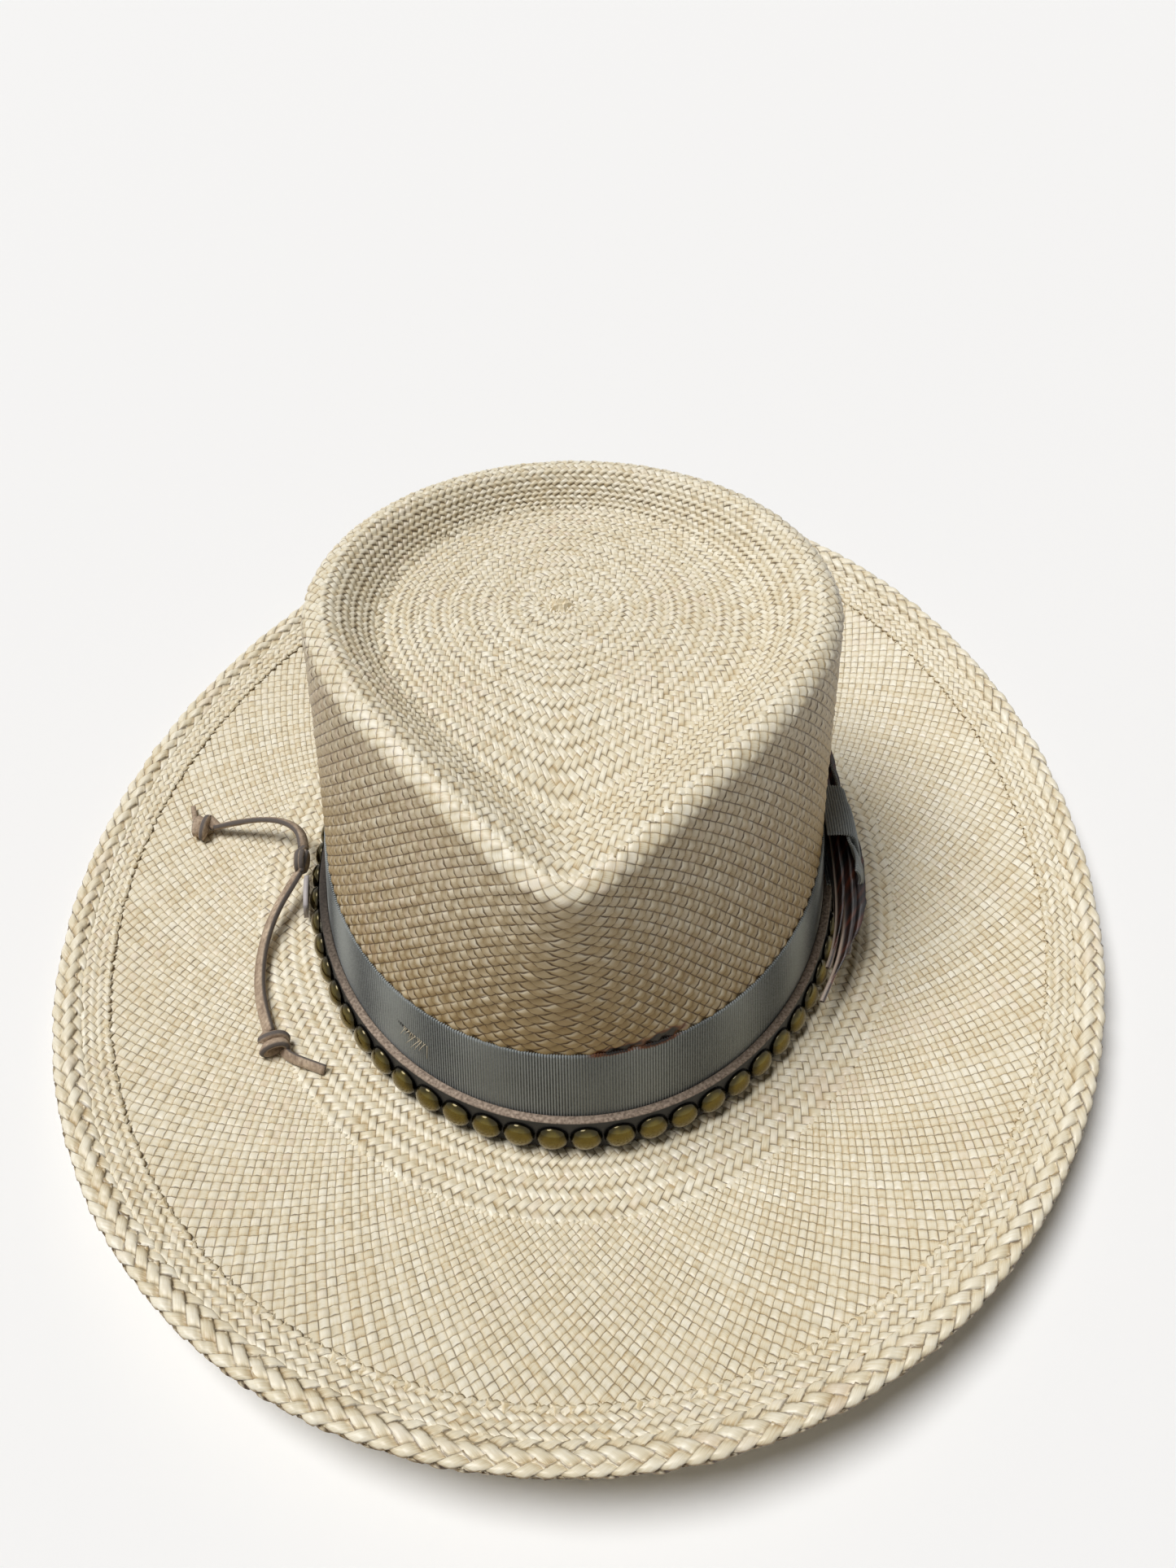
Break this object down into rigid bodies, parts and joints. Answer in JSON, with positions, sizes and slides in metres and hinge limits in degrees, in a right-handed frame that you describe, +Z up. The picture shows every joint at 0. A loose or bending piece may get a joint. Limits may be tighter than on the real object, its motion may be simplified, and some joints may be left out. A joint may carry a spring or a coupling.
{
  "type": "panama hat",
  "caption": "Wide-brimmed woven straw hat with a pinched teardrop crown, grosgrain band and bow, feathers and a studded leather hat belt tied with knotted laces.",
  "frame": {"origin": "middle of the brim's outline, on the plane that the hat rests on", "axes": "+Z up, -Y to the front of the hat (the pinched end of the crown), +X to the wearer's left (the bow's side)"},
  "size_m": [0.3524, 0.3978, 0.1163],
  "materials": {
    "straw": "woven toquilla straw",
    "grosgrain": "ribbed grosgrain ribbon",
    "feather": "glossy dark brown feather",
    "black_leather": "black leather with a raw edge",
    "studs": "antique brass",
    "grey_leather": "pale grey leather",
    "lace_leather": "grey-brown leather lace",
    "sweatband_leather": "smooth brown leather",
    "reed": "matt",
    "tape": "grosgrain tape"
  },
  "bodies": {
    "root": {"crown_side": "straw", "crown_tip": "straw", "brim": "straw", "brim_edge": "straw", "ribbon_band": "grosgrain", "bow_wrap": "grosgrain", "bow_flap": "grosgrain", "bow_tail": "grosgrain", "feather_long": "feather", "feather_middle": "feather", "feather_short": "feather", "hat_belt": "black_leather", "brass_studs": "studs", "belt_end": "grey_leather", "belt_knot": "lace_leather", "upper_lace": "lace_leather", "upper_lace_knot": "lace_leather", "lower_lace": "lace_leather", "lower_lace_knot": "lace_leather", "sweatband": "sweatband_leather", "sweatband_reed": "reed", "sweatband_tape": "tape"}
  },
  "joints": []
}
